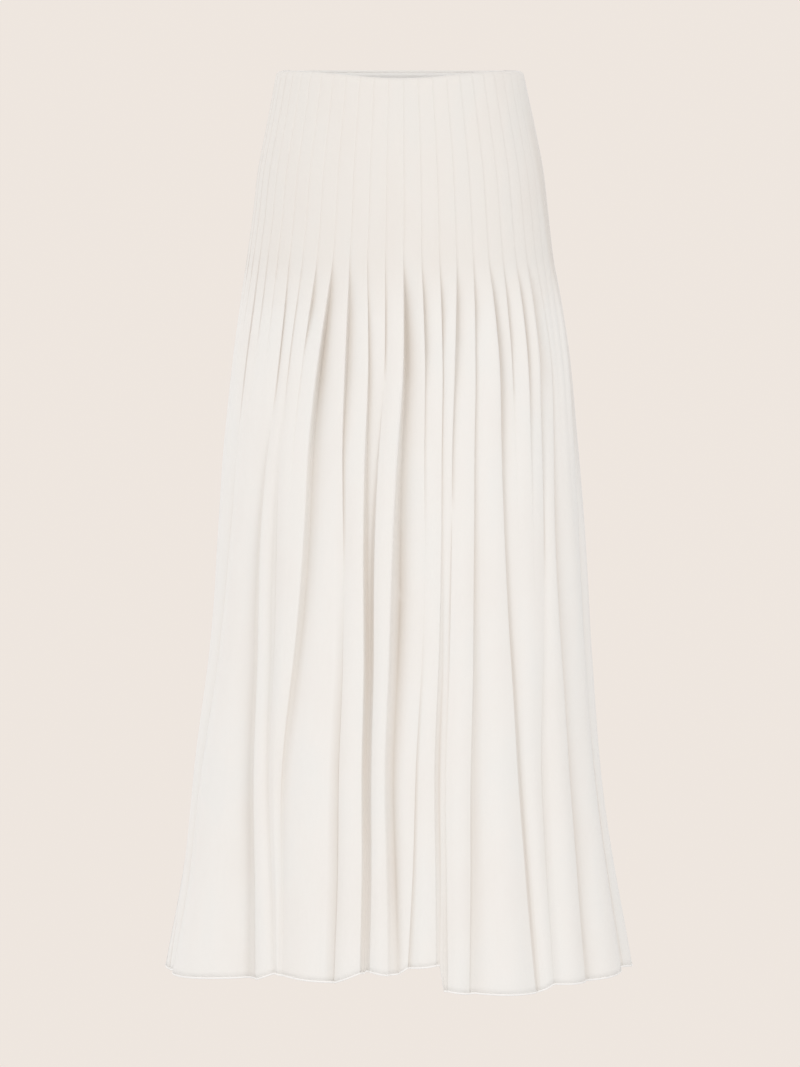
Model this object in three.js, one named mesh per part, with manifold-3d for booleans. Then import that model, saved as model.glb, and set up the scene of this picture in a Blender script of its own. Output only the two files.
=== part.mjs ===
// A long muslin skirt, worn and hollow: narrow knife pleats are stitched down from waist to hip and
// open below into soft flutes that fall to a narrow hem. Millimetres, +Z up, +X to the right, -Y is
// the front. The origin is the middle of the waist opening, level with the top edge at the sides.

import * as THREE from 'three';
import { mergeVertices } from 'three/addons/utils/BufferGeometryUtils.js';
import Module from 'manifold-3d';

// Driving sizes
const WALL = 1.2; // the pleated cloth, with the layers folded under it
const SEAM_GAP = 0.3;
const RELEASE_Z = -190; // the pleats are stitched down as far as here
const PLEATS = 54; // all round
const PLEAT_STEP = 360 / PLEATS;
const FIRST_PLEAT = -85.4; // degrees from the middle of the front, positive to the right
const FRONT_FIRST = -2; // the side seams lie a little behind the sides,
const FRONT_PLEATS = 31; // so pleats -2 to 28 are in the front and the other 23 in the back
const SEAM_PLACE = 0.5; // a side seam lies halfway between two pleats
const WAIST_DIP = 7; // how far the top edge drops at the middle of the front
const WAIST_DIP_DEPTH = 70;
const EDGE_WIDTH = 1.5; // a pleat's folded edge, seen from the front
const EDGE_SHARE = 0.28; // wider by this share of a fold's depth
const EDGE_ROOM = 0.4; // but never more than this share of the pleat
const CORNER_REACH = 1.35; // the wall at a fold's corner is at most this much thicker

// Facing and zip
const FACING = { height: 34, drop: 0.2, wall: 1.0, clear: 0.45, columns: 44, rows: 2 };
const ZIP = { length: 182, width: 9, wall: 1.4, top: -3, rows: 9, columns: 4 };
const SLIDER = { width: 4.4, height: 7.5, depth: 1.5, z: -9, clear: 0.6 };
const LUG = { width: 1.4, height: 3.2, depth: 2.0, gap: 0.35 };
const PULL = { width: 4.6, length: 20, wall: 1.0, eyeWidth: 2.2, eyeHeight: 4.6, rim: 1.0, tip: 1.5 };

// Reach of the cloth at each height, seen from the front (left, right) and from the side (front,
// back). Crest is how far a fold's crest stands out from the middle line of the cloth. Pleat is
// the step of a knife pleat, and round is how much a flute swells for its width.
const SECTIONS = [
  { z: 0, left: -122, right: 121, front: -92, back: 92, crest: 0.9, pleat: 1.7, round: 0 },
  { z: -50, left: -136, right: 139, front: -100, back: 102, crest: 0.9, pleat: 1.8, round: 0 },
  { z: -100, left: -146, right: 149, front: -107, back: 112, crest: 1, pleat: 1.9, round: 0 },
  { z: -150, left: -152, right: 155, front: -112, back: 120, crest: 1, pleat: 2.1, round: 0 },
  { z: -190, left: -158, right: 160, front: -115, back: 124, crest: 1.5, pleat: 2.8, round: 0 },
  { z: -230, left: -164, right: 167, front: -118, back: 126, crest: 2.5, pleat: 4, round: 0.01 },
  { z: -300, left: -174, right: 178, front: -123, back: 129, crest: 3, pleat: 4.2, round: 0.03 },
  { z: -380, left: -183, right: 185, front: -128, back: 133, crest: 3, pleat: 3.2, round: 0.05 },
  { z: -480, left: -189, right: 192, front: -134, back: 138, crest: 3, pleat: 2, round: 0.08 },
  { z: -600, left: -198, right: 199, front: -142, back: 145, crest: 3.5, pleat: 1.2, round: 0.1 },
  { z: -720, left: -213, right: 207, front: -151, back: 153, crest: 3.5, pleat: 0.8, round: 0.12 },
  { z: -840, left: -226, right: 223, front: -161, back: 162, crest: 4, pleat: 0.6, round: 0.14 },
  { z: -945, left: -244, right: 242, front: -170, back: 170, crest: 5.5, pleat: 0.5, round: 0.15 },
];

// The largest folds. Each goes on from one stitched pleat, numbered from the left of the front.
// Angle is where its crease lies and depth is its step at the four heights of FOLD_LEVELS. A depth
// over 0 has its crest to the left of the crease, one under 0 has it to the right. Lift raises the
// hem there.
const FOLD_LEVELS = [-300, -480, -720, -945];
const FOLDS = [
  { pleat: 3, angle: [-66, -68, -75, -78], depth: [1, -2, -3, -4], lift: 12 },
  { pleat: 6, angle: [-46, -49, -44.7, -37.8], depth: [1.5, -5, -5.5, -3.5], lift: 24 },
  { pleat: 7, angle: [-41, -42, -38.6, -31.8], depth: [0.5, -1.5, -2.2, -2.2], lift: 31 },
  { pleat: 9, angle: [-28.3, -31, -34, -30], depth: [8.5, 8, 2, 0.5], lift: 30 },
  { pleat: 10, angle: [-19, -18, -16.2, -15.8], depth: [4, 0.8, -1, -1.5], lift: 26 },
  { pleat: 11, angle: [-11, -11.3, -9.5, -9.2], depth: [5, 6, 4.6, 4], lift: 36 },
  { pleat: 12, angle: [-5.5, -8, -7, -7], depth: [0, -4.5, -4.4, -4], lift: 38 },
  { pleat: 13, angle: [0.8, -2, -2.6, -2], depth: [8.5, 13, 9, 6], lift: 35 },
  { pleat: 14, angle: [8, 7.4, 5.6, 2.4], depth: [1.5, 0.2, 0.6, 1.5], lift: 42 },
  { pleat: 15, angle: [14.2, 12.7, 11, 9.4], depth: [1.5, 1.6, 3.8, 3], lift: 44 },
  { pleat: 16, angle: [19, 16, 14, 12.2], depth: [3.5, -0.5, -1, -2.5], lift: 17 },
  { pleat: 17, angle: [26.2, 23.6, 21.5, 17.8], depth: [2, 2.5, 3.2, 2.5], lift: 14 },
  { pleat: 18, angle: [35.6, 34.4, 36.7, 36.2], depth: [5, 4, 3.8, 2.8], lift: 10 },
  { pleat: 21, angle: [53.5, 51, 46, 42], depth: [4.5, 0, 1.2, 1], lift: 16 },
  { pleat: 22, angle: [62, 57, 58.8, 53.8], depth: [1, 4.5, 5, 4], lift: 14 },
  { pleat: 25, angle: [76, 78, 82, 80], depth: [5, 2, -1.5, -3], lift: 15 },
  { pleat: 27, angle: [92, 93, 94, 93], depth: [4, 5, 6, 7], lift: 10 },
  { pleat: 29, angle: [107, 104, 105, 108], depth: [3, -5, -8, -12], lift: 5 },
  { pleat: 31, angle: [120, 122, 118, 121], depth: [5, 8, 9, 12], lift: 6 },
  { pleat: 33, angle: [134, 131, 133, 131], depth: [2, -4, -7, -9], lift: 8 },
  { pleat: 35, angle: [147, 149, 146, 144], depth: [5, 8, 9, 11], lift: 6 },
  { pleat: 37, angle: [160, 158, 161, 157], depth: [3, -6, -8, -12], lift: 9 },
  { pleat: 39, angle: [174, 176, 174, 171], depth: [5, 9, 10, 10], lift: 6 },
  { pleat: 41, angle: [188, 185, 187, 186], depth: [2, -3, -7, -11], lift: 8 },
  { pleat: 43, angle: [201, 203, 200, 202], depth: [5, 8, 9, 13], lift: 5 },
  { pleat: 45, angle: [214, 212, 215, 214], depth: [3, -5, -8, -10], lift: 8 },
  { pleat: 47, angle: [228, 230, 228, 231], depth: [5, 8, 10, 11], lift: 4 },
  { pleat: 49, angle: [241, 240, 242, 243], depth: [2, -4, -7, -9], lift: 4 },
  { pleat: 52, angle: [262, 264, 262, 266], depth: [4, 6, 8, 11], lift: 4 },
];

const rad = THREE.MathUtils.degToRad;
const lerp = THREE.MathUtils.lerp;

// A smooth curve through (places, values), places going down
function along(places, values, at) {
  const last = places.length - 1;
  let i = 0;
  while (i < last - 1 && at < places[i + 1]) i += 1;
  const span = places[i + 1] - places[i];
  const t = THREE.MathUtils.clamp((at - places[i]) / span, 0, 1);
  const rise = (j) => (values[j + 1] - values[j]) / (places[j + 1] - places[j]);
  const slope = (j) => (j <= 0 ? rise(0) : j >= last ? rise(last - 1) : (rise(j - 1) + rise(j)) / 2);
  const startPart = (1 + 2 * t) * (1 - t) ** 2 * values[i];
  const endPart = (3 - 2 * t) * t * t * values[i + 1];
  const slopePart = t * (1 - t) ** 2 * slope(i) - t * t * (1 - t) * slope(i + 1);
  return startPart + endPart + slopePart * span;
}

const HEIGHTS = SECTIONS.map((row) => row.z);
const HEM_Z = HEIGHTS[HEIGHTS.length - 1];
const size = (name, z) => along(HEIGHTS, SECTIONS.map((row) => row[name]), z);
const stitchedAngle = (pleat) => FIRST_PLEAT + PLEAT_STEP * pleat;

// Angle and depth of one large fold at a height
function foldAt(fold, z) {
  const stitched = stitchedAngle(fold.pleat);
  if (z >= RELEASE_Z) return { pleat: fold.pleat, angle: stitched, depth: 0, lift: 0 };
  const places = [RELEASE_Z, ...FOLD_LEVELS];
  const angle = along(places, [stitched, ...fold.angle], z);
  const depth = along(places, [0, ...fold.depth], z);
  return { pleat: fold.pleat, angle, depth, lift: fold.lift };
}

// All large folds at a height, going once round and on past both ends
function foldsAt(z) {
  const once = FOLDS.map((fold) => foldAt(fold, z));
  const turned = (fold, turns) => ({
    ...fold,
    pleat: fold.pleat + turns * PLEATS,
    angle: fold.angle + turns * 360,
  });
  return [...once.map((f) => turned(f, -1)), ...once, ...once.map((f) => turned(f, 1))];
}

// Where pleat number `pleat` lies: on its large fold, or spread evenly between the two beside it
function pleatAngle(pleat, folds) {
  const after = folds.findIndex((fold) => fold.pleat >= pleat);
  const right = folds[after];
  const left = folds[after - 1];
  return lerp(left.angle, right.angle, (pleat - left.pleat) / (right.pleat - left.pleat));
}

// The middle line of the cloth: two half ellipses that meet at the sides
function middleLine(angle, z) {
  const crest = size('crest', z);
  const left = size('left', z);
  const right = size('right', z);
  const halfWidth = (right - left) / 2 - crest;
  const isFront = Math.cos(rad(angle)) > 0;
  const halfDepth = (isFront ? -size('front', z) : size('back', z)) - crest;
  const across = Math.sin(rad(angle));
  const forward = Math.cos(rad(angle));
  const outward = new THREE.Vector2(across / halfWidth, -forward / halfDepth).normalize();
  const pace = rad(1) * Math.hypot(halfWidth * forward, halfDepth * across);
  const x = (left + right) / 2 + halfWidth * across;
  return { x, y: -halfDepth * forward, outward, pace };
}

// How far the large folds move the cloth out at an angle, and how far they lift the hem there
function fluteAt(angle, folds, z) {
  const after = folds.findIndex((fold) => fold.angle > angle);
  const right = folds[after];
  const left = folds[after - 1];
  const share = (angle - left.angle) / (right.angle - left.angle);
  const width = (right.angle - left.angle) * middleLine(angle, z).pace;
  const swell = size('round', z) * width * Math.sin(Math.PI * share);
  return {
    out: lerp(-left.depth / 2, right.depth / 2, share) + swell,
    lift: lerp(left.lift, right.lift, share),
  };
}

// The top edge dips at the front, and the hem rises with its folds
function heightAt(angle, z, lift) {
  const dipShare = Math.max(0, Math.cos(rad(angle))) ** 6 * Math.max(0, 1 + z / WAIST_DIP_DEPTH);
  const fall = THREE.MathUtils.clamp((z - RELEASE_Z) / (HEM_Z - RELEASE_Z), 0, 1);
  return z - WAIST_DIP * dipShare + lift * fall * fall;
}

// The points of one pleat at a height: its foot by the last crease, two on its face, its edge
const FACE_SHARES = [0, 0.36, 0.72, 1];
function pleatPoints(pleat, folds, z) {
  const step = size('pleat', z);
  const from = pleatAngle(pleat, folds);
  const to = pleatAngle(pleat + 1, folds);
  const depthOf = (number) => folds.find((fold) => fold.pleat === number)?.depth ?? 0;
  const pace = middleLine((from + to) / 2, z).pace;
  const half = (number) => (EDGE_WIDTH + EDGE_SHARE * Math.abs(depthOf(number) + step)) / 2 / pace;
  const room = (to - from) * EDGE_ROOM;
  const first = from + Math.min(half(pleat), room);
  const last = to - Math.min(half(pleat + 1), room);
  return FACE_SHARES.map((share) => {
    const angle = lerp(first, last, share);
    const flute = fluteAt(angle, folds, z);
    const out = flute.out + step * (share - 0.5);
    return { angle, out, lift: flute.lift };
  });
}

// One whole ring of the cloth, as points of its outer and inner face. The inner face is the outer
// one moved in by the wall, square to the cloth, so that a steep fold is as thick as a flat one.
function ringAt(z, fromPleat, pleatCount) {
  const folds = foldsAt(z);
  const outer = [];
  for (let pleat = fromPleat - 2; pleat < fromPleat + pleatCount + 2; pleat += 1) {
    for (const point of pleatPoints(pleat, folds, z)) {
      const line = middleLine(point.angle, z);
      const x = line.x + line.outward.x * point.out;
      const y = line.y + line.outward.y * point.out;
      outer.push(new THREE.Vector3(x, y, heightAt(point.angle, z, point.lift)));
    }
  }
  const squareTo = (a, b) => new THREE.Vector2(b.y - a.y, a.x - b.x).normalize();
  const inner = outer.map((point, i) => {
    const end = outer.length - 1;
    const before = squareTo(outer[Math.max(0, i - 1)], outer[Math.max(1, i)]);
    const beyond = squareTo(outer[Math.min(end - 1, i)], outer[Math.min(end, i + 1)]);
    const way = before.clone().add(beyond).normalize();
    const reach = WALL * Math.min(1 / way.dot(before), CORNER_REACH);
    return new THREE.Vector3(point.x - way.x * reach, point.y - way.y * reach, point.z);
  });
  const skipped = 2 * FACE_SHARES.length;
  return { outer: outer.slice(skipped, -skipped), inner: inner.slice(skipped, -skipped) };
}

// A closed wall from rows of outer points and rows of inner points, top row first
function wallGeometry(outerRows, innerRows) {
  const rows = outerRows.length;
  const columns = outerRows[0].length;
  const points = [...outerRows.flat(), ...innerRows.flat()];
  const outside = (row, column) => row * columns + column;
  const inside = (row, column) => (rows + row) * columns + column;
  const faces = [];
  const square = (a, b, c, d) => faces.push(a, b, c, a, c, d);
  for (let row = 0; row < rows - 1; row += 1) {
    for (let column = 0; column < columns - 1; column += 1) {
      const next = column + 1;
      const below = row + 1;
      square(outside(row, column), outside(below, column), outside(below, next), outside(row, next));
      square(inside(row, column), inside(row, next), inside(below, next), inside(below, column));
    }
    const end = columns - 1;
    square(outside(row, 0), inside(row, 0), inside(row + 1, 0), outside(row + 1, 0));
    square(outside(row, end), outside(row + 1, end), inside(row + 1, end), inside(row, end));
  }
  const low = rows - 1;
  for (let column = 0; column < columns - 1; column += 1) {
    const next = column + 1;
    square(outside(0, column), outside(0, next), inside(0, next), inside(0, column));
    square(outside(low, column), inside(low, column), inside(low, next), outside(low, next));
  }
  const geometry = new THREE.BufferGeometry();
  const numbers = points.flatMap((point) => [point.x, point.y, point.z]);
  geometry.setAttribute('position', new THREE.Float32BufferAttribute(numbers, 3));
  geometry.setIndex(faces);
  geometry.computeVertexNormals();
  return geometry;
}

// The point of a row that lies at `share` of the way from one point to the next
const between = (row, index, share) => row[index].clone().lerp(row[index + 1], share);

// A pleated panel from one side seam to the other. Its end columns lie on a pleat's face, and each
// is half the seam's gap short of the seam.
function panelGeometry(fromPleat, pleatCount) {
  const outerRows = [];
  const innerRows = [];
  for (const z of HEIGHTS) {
    const ring = ringAt(z, fromPleat - 1, pleatCount + 1);
    const seamIndex = 1; // the seam crosses the face of the pleat before the panel's first whole one
    const endIndex = ring.outer.length - FACE_SHARES.length + seamIndex;
    for (const [row, rows] of [[ring.outer, outerRows], [ring.inner, innerRows]]) {
      const faceWidth = row[seamIndex].distanceTo(row[seamIndex + 1]);
      const endWidth = row[endIndex].distanceTo(row[endIndex + 1]);
      const start = between(row, seamIndex, SEAM_PLACE + SEAM_GAP / 2 / faceWidth);
      const end = between(row, endIndex, SEAM_PLACE - SEAM_GAP / 2 / endWidth);
      rows.push([start, ...row.slice(seamIndex + 1, endIndex + 1), end]);
    }
  }
  return wallGeometry(outerRows, innerRows);
}

// A smooth strip inside the cloth, at a depth behind the middle line, between two angles
function stripGeometry(strip) {
  const outerRows = [];
  const innerRows = [];
  for (let row = 0; row <= strip.rows; row += 1) {
    const z = lerp(strip.top, strip.low, row / strip.rows);
    const behind = size('pleat', z) / 2 + WALL * CORNER_REACH + strip.clear;
    const rowOf = (depth) => {
      const points = [];
      for (let column = 0; column <= strip.columns; column += 1) {
        const angle = lerp(strip.from, strip.to, column / strip.columns);
        const line = middleLine(angle, z);
        const x = line.x - line.outward.x * depth;
        const y = line.y - line.outward.y * depth;
        points.push(new THREE.Vector3(x, y, heightAt(angle, z, 0)));
      }
      return points;
    };
    outerRows.push(rowOf(behind));
    innerRows.push(rowOf(behind + strip.wall));
  }
  return wallGeometry(outerRows, innerRows);
}

const COLOURS = { muslin: 0xf0edea, facing: 0xe9e5e0, tape: 0xece8e3, metal: 0xc9c6c1 };
const cloth = (colour) => new THREE.MeshStandardMaterial({ color: colour, roughness: 0.9, metalness: 0 });
const metal = () => new THREE.MeshStandardMaterial({ color: COLOURS.metal, roughness: 0.35, metalness: 0.9 });

const skirt = new THREE.Group();
function add(name, geometry, material, parent = skirt) {
  const mesh = new THREE.Mesh(geometry, material);
  mesh.name = name;
  parent.add(mesh);
  return mesh;
}

// Front and back panels
const backFirst = FRONT_FIRST + FRONT_PLEATS;
add('skirt_front', panelGeometry(FRONT_FIRST, FRONT_PLEATS), cloth(COLOURS.muslin));
add('skirt_back', panelGeometry(backFirst, PLEATS - FRONT_PLEATS), cloth(COLOURS.muslin));

// The side seams, at the waist: on the face between two pleats
const seamShare = lerp(FACE_SHARES[1], FACE_SHARES[2], SEAM_PLACE);
const leftSeam = stitchedAngle(FRONT_FIRST - 1 + seamShare);
const rightSeam = stitchedAngle(backFirst - 1 + seamShare);

// Waist facing: a plain strip inside the top edge, in two pieces that stop beside the zip
const zipRoom = (ZIP.width / 2 + SEAM_GAP) / middleLine(rightSeam, 0).pace;
const seamRoom = SEAM_GAP / 2 / middleLine(leftSeam, 0).pace;
const facing = {
  top: -FACING.drop,
  low: -FACING.height,
  rows: FACING.rows,
  columns: FACING.columns,
  clear: FACING.clear,
  wall: FACING.wall,
};
const frontFacing = { ...facing, from: leftSeam + seamRoom, to: rightSeam - zipRoom };
const backFacing = { ...facing, from: rightSeam + zipRoom, to: leftSeam + 360 - seamRoom };
add('facing_front', stripGeometry(frontFacing), cloth(COLOURS.facing));
add('facing_back', stripGeometry(backFacing), cloth(COLOURS.facing));

// Concealed zip: a closed tape behind the right side seam
const tapeHalf = ZIP.width / 2 / middleLine(rightSeam, ZIP.top).pace;
const tape = {
  top: ZIP.top,
  low: ZIP.top - ZIP.length,
  rows: ZIP.rows,
  columns: ZIP.columns,
  clear: FACING.clear,
  wall: ZIP.wall,
  from: rightSeam - tapeHalf,
  to: rightSeam + tapeHalf,
};
add('zip_tape', stripGeometry(tape), cloth(COLOURS.tape));

// Slider and pull tab, in a frame that lies on the outside of the seam: X out, Y along, Z up the
// slope of the waist
const seamLine = middleLine(rightSeam, SLIDER.z);
const seamAbove = middleLine(rightSeam, SLIDER.z + SLIDER.height);
const slope = Math.atan2(
  Math.hypot(seamLine.x, seamLine.y) - Math.hypot(seamAbove.x, seamAbove.y),
  SLIDER.height,
);
const fitting = new THREE.Group();
fitting.position.set(
  seamLine.x + seamLine.outward.x * SLIDER.clear,
  seamLine.y + seamLine.outward.y * SLIDER.clear,
  SLIDER.z,
);
fitting.rotation.set(0, -slope, Math.atan2(seamLine.outward.y, seamLine.outward.x), 'ZYX');
skirt.add(fitting);

// An outline across and up, made solid by a depth outwards
function plateGeometry(outline, hole, depth) {
  const shape = new THREE.Shape(outline);
  if (hole) shape.holes.push(new THREE.Path(hole));
  const geometry = new THREE.ExtrudeGeometry(shape, { depth, bevelEnabled: false });
  geometry.rotateX(Math.PI / 2);
  geometry.rotateZ(Math.PI / 2);
  return geometry;
}

const corner = (across, up) => new THREE.Vector2(across, up);
const rectangle = (width, low, high) => [
  corner(-width / 2, low),
  corner(width / 2, low),
  corner(width / 2, high),
  corner(-width / 2, high),
];

// Two closed shapes joined into one
const wasm = await Module();
wasm.setup();
function solidOf(geometry) {
  const bare = geometry.clone();
  bare.deleteAttribute('normal');
  bare.deleteAttribute('uv');
  const merged = mergeVertices(bare);
  const vertProperties = new Float32Array(merged.attributes.position.array);
  const triVerts = new Uint32Array(merged.index.array);
  return new wasm.Manifold(new wasm.Mesh({ numProp: 3, vertProperties, triVerts }));
}
function joined(first, second) {
  const mesh = solidOf(first).add(solidOf(second)).getMesh();
  const geometry = new THREE.BufferGeometry();
  geometry.setAttribute('position', new THREE.BufferAttribute(mesh.vertProperties, 3));
  geometry.setIndex(new THREE.BufferAttribute(mesh.triVerts, 1));
  geometry.computeVertexNormals();
  return geometry;
}

// The slider narrows downwards and carries a small lug, on which the pull hangs by its eye
const half = SLIDER.width / 2;
const sliderOutline = [
  corner(-half * 0.6, -SLIDER.height / 2),
  corner(half * 0.6, -SLIDER.height / 2),
  corner(half, 0),
  corner(half, SLIDER.height / 2),
  corner(-half, SLIDER.height / 2),
  corner(-half, 0),
];
const sliderPlate = plateGeometry(sliderOutline, null, SLIDER.depth);
const lugOutline = rectangle(LUG.width, -LUG.height / 2, LUG.height / 2);
const lugFoot = SLIDER.depth / 2; // how deep the lug is rooted in the slider
const lug = plateGeometry(lugOutline, null, lugFoot + LUG.depth);
lug.translate(SLIDER.depth - lugFoot, 0, 0);
add('zip_slider', joined(sliderPlate, lug), metal(), fitting);

// The pull: a tapered plate with an eye that the lug stands in, hanging from the top of its eye
const pullTop = LUG.height / 2 + LUG.gap + PULL.rim;
const pullHalf = PULL.width / 2;
const pullOutline = [
  corner(-pullHalf * 0.8, pullTop),
  corner(-pullHalf, pullTop - PULL.rim),
  corner(-pullHalf * 0.75, pullTop - PULL.length * 0.55),
  corner(-pullHalf, pullTop - PULL.length + PULL.tip),
  corner(-pullHalf * 0.6, pullTop - PULL.length),
  corner(pullHalf * 0.6, pullTop - PULL.length),
  corner(pullHalf, pullTop - PULL.length + PULL.tip),
  corner(pullHalf * 0.75, pullTop - PULL.length * 0.55),
  corner(pullHalf, pullTop - PULL.rim),
  corner(pullHalf * 0.8, pullTop),
];
const eyeTop = pullTop - PULL.rim;
const eye = rectangle(PULL.eyeWidth, eyeTop - PULL.eyeHeight, eyeTop).reverse();
const pull = add('zip_pull', plateGeometry(pullOutline, eye, PULL.wall), metal(), fitting);
pull.position.x = SLIDER.depth + LUG.gap;

export default skirt;
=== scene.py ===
# A long ivory muslin skirt, worn and hollow: knife pleats stitched down to the hip, flutes below.
import math

import bpy
import numpy as np
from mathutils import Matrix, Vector, noise


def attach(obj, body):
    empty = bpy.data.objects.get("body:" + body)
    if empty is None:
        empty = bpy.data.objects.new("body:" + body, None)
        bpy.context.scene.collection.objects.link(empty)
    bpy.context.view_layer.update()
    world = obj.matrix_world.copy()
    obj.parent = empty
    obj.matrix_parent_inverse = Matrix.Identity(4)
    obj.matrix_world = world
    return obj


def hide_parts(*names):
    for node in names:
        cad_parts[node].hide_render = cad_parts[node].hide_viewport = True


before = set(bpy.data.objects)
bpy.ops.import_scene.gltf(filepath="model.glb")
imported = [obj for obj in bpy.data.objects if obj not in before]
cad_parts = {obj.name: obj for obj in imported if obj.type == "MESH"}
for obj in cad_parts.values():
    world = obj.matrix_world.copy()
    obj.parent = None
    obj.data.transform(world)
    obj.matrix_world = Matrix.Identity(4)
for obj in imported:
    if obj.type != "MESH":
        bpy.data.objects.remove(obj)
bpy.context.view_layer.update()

MM = 0.001

# Camera, studio and light. The camera stands in front of the skirt at the height of its waist and
# looks slightly down. The studio is a round pale cove, the same ground behind every side, which
# only the camera sees. The light is two large lamps in front and soft light from all round.
CAMERA_PLACE = Vector((0.001, -4.5, 0.02))
CAMERA_LOOKS_AT = Vector((0.001, 0.0, -0.478))
CAMERA_LENS = 147.0
STUDIO_COLOUR = (0.855, 0.791, 0.737, 1.0)
STUDIO_PAINT = (0.04, 0.037, 0.034, 1.0)
STUDIO_GLOW = 0.96
COVE = {"floor_z": -1.6, "floor_radius": 5.2, "bend": 1.4, "wall_top": 4.5, "bend_parts": 8, "sides": 64}
LAMP_PLACES = {"key_light": (-2.6, -3.9, 0.9), "side_light": (2.9, -3.7, 0.8)}
LAMP_LOOKS_AT = (0, 0, -0.45)
LAMP = {"size": 1.6, "power": 25, "colour": (1.0, 0.99, 0.98)}

camera_data = bpy.data.cameras.new("camera")
camera_data.lens = CAMERA_LENS
camera = bpy.data.objects.new("camera", camera_data)
camera.location = CAMERA_PLACE
camera.rotation_euler = (CAMERA_LOOKS_AT - CAMERA_PLACE).to_track_quat("-Z", "Y").to_euler()
bpy.context.scene.collection.objects.link(camera)
bpy.context.scene.camera = camera
bpy.context.scene.view_settings.view_transform = "Standard"

for lamp_name, lamp_place in LAMP_PLACES.items():
    lamp_data = bpy.data.lights.new(lamp_name, "AREA")
    lamp_data.shape = "SQUARE"
    lamp_data.size = LAMP["size"]
    lamp_data.energy = LAMP["power"]
    lamp_data.color = LAMP["colour"]
    lamp = bpy.data.objects.new(lamp_name, lamp_data)
    lamp.location = lamp_place
    lamp.rotation_euler = (Vector(LAMP_LOOKS_AT) - Vector(lamp_place)).to_track_quat("-Z", "Y").to_euler()
    bpy.context.scene.collection.objects.link(lamp)

# Soft light from all round: how bright it is towards each side
AIR_LIGHT = {
    "all_round": 0.12, "above": 0.38, "below": 0.28, "left": 0.69, "right": 0.73, "back": 0.82,
}
AIR_SIDES = {
    "above": (0.0, -0.45, 0.89),
    "below": (0.0, -0.4, -0.92),
    "left": (-0.95, -0.3, 0.02),
    "right": (0.86, -0.5, 0.02),
    "back": (-0.2, 0.96, 0.2),
}
AIR_COLOUR = (1.0, 0.988, 0.982, 1.0)
world = bpy.data.worlds.new("studio_air")
world.use_nodes = True
air = world.node_tree
air_way = air.nodes.new("ShaderNodeTexCoord").outputs["Generated"]
brightness = None
for side_name, side_way in AIR_SIDES.items():
    towards = air.nodes.new("ShaderNodeVectorMath")
    towards.operation = "DOT_PRODUCT"
    air.links.new(air_way, towards.inputs[0])
    towards.inputs[1].default_value = side_way
    faced = air.nodes.new("ShaderNodeMath")
    faced.operation = "MAXIMUM"
    air.links.new(towards.outputs["Value"], faced.inputs[0])
    faced.inputs[1].default_value = 0.0
    share = air.nodes.new("ShaderNodeMath")
    share.operation = "MULTIPLY_ADD"
    air.links.new(faced.outputs[0], share.inputs[0])
    share.inputs[1].default_value = AIR_LIGHT[side_name]
    if brightness is None:
        share.inputs[2].default_value = AIR_LIGHT["all_round"]
    else:
        air.links.new(brightness, share.inputs[2])
    brightness = share.outputs[0]
air.nodes["Background"].inputs["Color"].default_value = AIR_COLOUR
air.links.new(brightness, air.nodes["Background"].inputs["Strength"])
bpy.context.scene.world = world


def round_mesh(name, profile, sides):
    """A surface turned about Z from (radius, height) pairs, open at its last ring."""
    vertices = [(0.0, 0.0, profile[0][1])]
    faces = []
    for ring, (radius, height) in enumerate(profile):
        for side in range(sides):
            turn = 2 * math.pi * side / sides
            vertices.append((radius * math.cos(turn), radius * math.sin(turn), height))
            after = (side + 1) % sides
            first = 1 + ring * sides
            if ring == 0:
                faces.append((0, first + side, first + after))
            else:
                below = first - sides
                faces.append((below + side, first + side, first + after, below + after))
    mesh = bpy.data.meshes.new(name)
    mesh.from_pydata(vertices, [], faces)
    mesh.shade_smooth()
    return mesh


cove_profile = [(COVE["floor_radius"], COVE["floor_z"])]
for part in range(1, COVE["bend_parts"] + 1):
    bend_turn = math.pi / 2 * part / COVE["bend_parts"]
    cove_profile.append((
        COVE["floor_radius"] + COVE["bend"] * math.sin(bend_turn),
        COVE["floor_z"] + COVE["bend"] * (1 - math.cos(bend_turn)),
    ))
cove_profile.append((COVE["floor_radius"] + COVE["bend"], COVE["wall_top"]))
cove = bpy.data.objects.new("studio_cove", round_mesh("studio_cove", cove_profile, COVE["sides"]))
bpy.context.scene.collection.objects.link(cove)
cove.visible_diffuse = False
cove.visible_glossy = False
cove.visible_transmission = False
cove.visible_shadow = False
cove_paint = bpy.data.materials.new("studio_paint")
cove_paint.use_nodes = True
cove_shader = cove_paint.node_tree.nodes["Principled BSDF"]
cove_shader.inputs["Base Color"].default_value = STUDIO_PAINT
cove_shader.inputs["Roughness"].default_value = 1.0
cove_shader.inputs["Specular IOR Level"].default_value = 0.0
cove_shader.inputs["Emission Color"].default_value = STUDIO_COLOUR
cove_shader.inputs["Emission Strength"].default_value = STUDIO_GLOW
cove.data.materials.append(cove_paint)

# Muslin. A fine plain weave of cotton, matte, with slubs in both threads and a faint crepe
# surface. Its pattern lies on the cloth's own map, in metres along and down the cloth.
MUSLIN = {
    "warm": (0.862, 0.832, 0.796, 1.0),
    "light": (0.868, 0.842, 0.808, 1.0),
    "cool": (0.858, 0.840, 0.810, 1.0),
    # Painted shade: the colour that the cloth turns towards deep in its folds.
    "painted_shade_colour": (0.76, 0.70, 0.64, 1.0),
    "on_slubs": (0.93, 0.92, 0.9, 1.0),
    "slub_tint": 0.10,
    "threads_per_metre": 2400.0,
    "slub_per_metre": 420.0,
    "crepe_per_metre": 170.0,
    "mottle_per_metre": (22.0, 9.0),
    "thread_height": 0.25,
    "slub_height": 0.5,
    "crepe_height": 0.9,
    "relief_depth": 0.00025,
    "roughness": 0.80,
    "slub_roughness": 0.12,
    "gloss": 0.25,
    "sheen_roughness": 0.45,
}


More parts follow.
